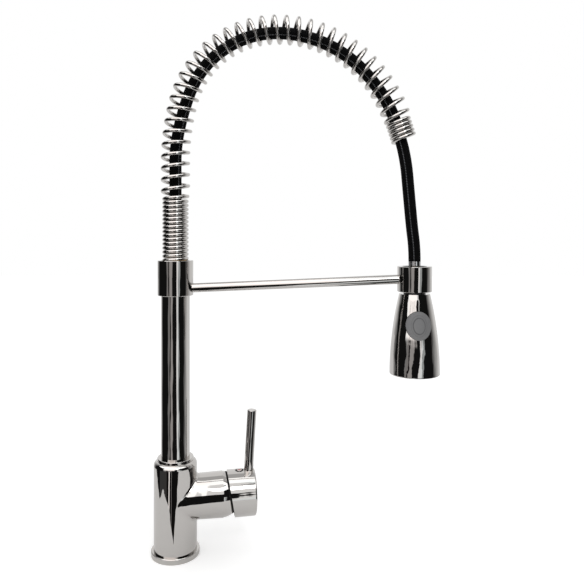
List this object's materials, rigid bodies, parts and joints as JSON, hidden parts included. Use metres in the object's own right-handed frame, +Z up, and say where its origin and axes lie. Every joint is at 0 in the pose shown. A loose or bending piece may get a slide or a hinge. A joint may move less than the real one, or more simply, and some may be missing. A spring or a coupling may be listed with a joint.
{
  "type": "side spray kitchen faucet",
  "caption": "Deck-mounted sink tap with a sprung hose arch, a pull-down hand spray docked in a side ring, and a single mixing lever on a side branch.",
  "frame": {"origin": "centre of the opening in the base ring's underside, on the riser's axis, in the deck plane", "axes": "+Z up along the riser; +X from the riser towards the docked spray, in the arch's plane; the spray's button faces -Y, the pictured side"},
  "size_m": [0.2878, 0.0623, 0.5374],
  "materials": {
    "chrome": "polished chrome plate",
    "spring_chrome": "polished chrome plate on spring steel wire",
    "brass": "machined",
    "steel": "plain steel",
    "rubber_black": "matte",
    "ceramic": "ground ceramic",
    "braid_black": "black braid with fine grey tracer threads",
    "plastic_grey": "matte grey",
    "plastic_dark": "matte dark grey",
    "plastic_white": "matte white",
    "index_red": "red centre in a chrome rim"
  },
  "bodies": {
    "base": {"base_ring": "chrome", "base_seal": "rubber_black", "main_body": "chrome", "spout_screw": "steel", "riser_bush": "chrome", "cartridge_body": "plastic_white", "cartridge_seals": "rubber_black", "fixed_disc": "ceramic", "cartridge_cover": "plastic_white", "cartridge_nut": "brass", "cartridge_dome": "chrome"},
    "rotor": {"cartridge_rotor": "plastic_white", "pivot_pin": "steel"},
    "disc": {"moving_disc": "ceramic"},
    "handle": {"cartridge_stem": "brass", "handle_cap": "chrome", "lever_rod": "chrome", "handle_screw": "steel", "index_plug": "index_red"},
    "spout": {"riser_spigot": "brass", "spigot_orings": "rubber_black", "riser_tube": "chrome", "riser_collar": "chrome", "collar_screw": "steel", "spring_seat": "brass", "arch_spring": "spring_chrome", "hose_arch": "braid_black", "support_arm": "chrome", "holder_ring": "chrome", "holder_liner": "plastic_dark", "hose_drop": "braid_black"},
    "hose_end": {"hose_ferrule": "steel", "swivel_stub": "brass"},
    "spray_head": {"head_shell": "chrome", "head_core": "plastic_dark", "swivel_nut": "brass", "swivel_washer": "rubber_black", "check_valve": "plastic_white", "spray_face": "plastic_grey", "spray_nozzles": "rubber_black", "aerator_ring": "plastic_dark", "aerator_screen": "steel", "button_spring": "steel"},
    "button": {"spray_button": "plastic_grey", "valve_spool": "plastic_white"}
  },
  "joints": [
    {"name": "spout_swivel", "type": "hinge", "parent": "base", "child": "spout", "pos_m": [0, 0, 0], "axis": [0, 0, 1], "continuous": true},
    {"name": "handle_turn", "type": "hinge", "parent": "base", "child": "rotor", "pos_m": [0.04408, 0.00857, 0.0549], "axis": [0.9816, 0.1908, 0], "range_deg": [-45, 45]},
    {"name": "handle_lift", "type": "hinge", "parent": "rotor", "child": "handle", "pos_m": [0.04408, 0.00857, 0.0549], "axis": [-0.1908, 0.9816, 0], "range_deg": [0, 22]},
    {"name": "disc_slide", "type": "slide", "parent": "rotor", "child": "disc", "axis": [0, 0, 1], "range_m": [0, 0.0057]},
    {"name": "spray_pull", "type": "slide", "parent": "spout", "child": "hose_end", "axis": [0, 0, -1], "range_m": [0, 0.04], "stiffness_N_per_m": 120, "springref_m": -0.05, "deforming": ["hose_drop"]},
    {"name": "spray_spin", "type": "hinge", "parent": "hose_end", "child": "spray_head", "pos_m": [0.239, 0, 0.27], "axis": [0, 0, 1], "continuous": true},
    {"name": "button_press", "type": "slide", "parent": "spray_head", "child": "button", "axis": [0, 1, 0], "range_m": [0, 0.002], "stiffness_N_per_m": 700, "springref_m": -0.001, "deforming": ["button_spring"]}
  ],
  "couplings": [
    {"joint": "disc_slide", "follows": "handle_lift", "m_per_rad": 0.0147}
  ]
}
